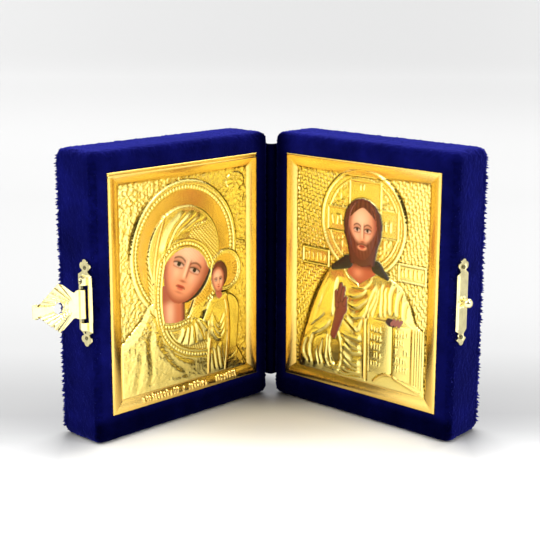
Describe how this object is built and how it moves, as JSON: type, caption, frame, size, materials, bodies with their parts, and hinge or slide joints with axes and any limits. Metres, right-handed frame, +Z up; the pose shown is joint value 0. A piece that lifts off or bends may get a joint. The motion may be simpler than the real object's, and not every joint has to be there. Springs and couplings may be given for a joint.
{
  "type": "diptych icon",
  "caption": "Small travel diptych: two velvet covered panels on a cloth fold, each with a stamped gilt icon plate, closed by a shell clasp over a ball knob.",
  "frame": {"origin": "middle of the part's bounding box, on the surface the panels stand on", "axes": "+Z up along the fold, +X across the open diptych towards the panel with the ball knob, -Y out of the open side towards the viewer"},
  "size_m": [0.1312, 0.0712, 0.087],
  "materials": {
    "blue_velvet": "deep blue velvet pile",
    "gilt_foil": "bright gilt stamped foil with painted faces and hands",
    "pale_brass": "pale polished stamped brass"
  },
  "bodies": {
    "left_leaf": {"left_velvet_panel": "blue_velvet", "left_icon_plate": "gilt_foil", "clasp_plate": "pale_brass", "clasp_pin": "pale_brass", "clasp_upper_nail": "pale_brass", "clasp_lower_nail": "pale_brass", "fold_cloth": "blue_velvet"},
    "clasp": {"clasp_flap": "pale_brass"},
    "right_leaf": {"right_velvet_panel": "blue_velvet", "right_icon_plate": "gilt_foil", "knob_plate": "pale_brass", "ball_knob": "pale_brass", "knob_plate_upper_nail": "pale_brass", "knob_plate_lower_nail": "pale_brass"}
  },
  "joints": [
    {"name": "fold", "type": "hinge", "parent": "left_leaf", "child": "right_leaf", "pos_m": [0.00243, 0.02361, 0.0435], "axis": [0, 0, 1], "range_deg": [-91, 89]},
    {"name": "clasp_swing", "type": "hinge", "parent": "left_leaf", "child": "clasp", "pos_m": [-0.05284, -0.02523, 0.0433], "axis": [0, 0, 1], "range_deg": [-74, 96]}
  ]
}
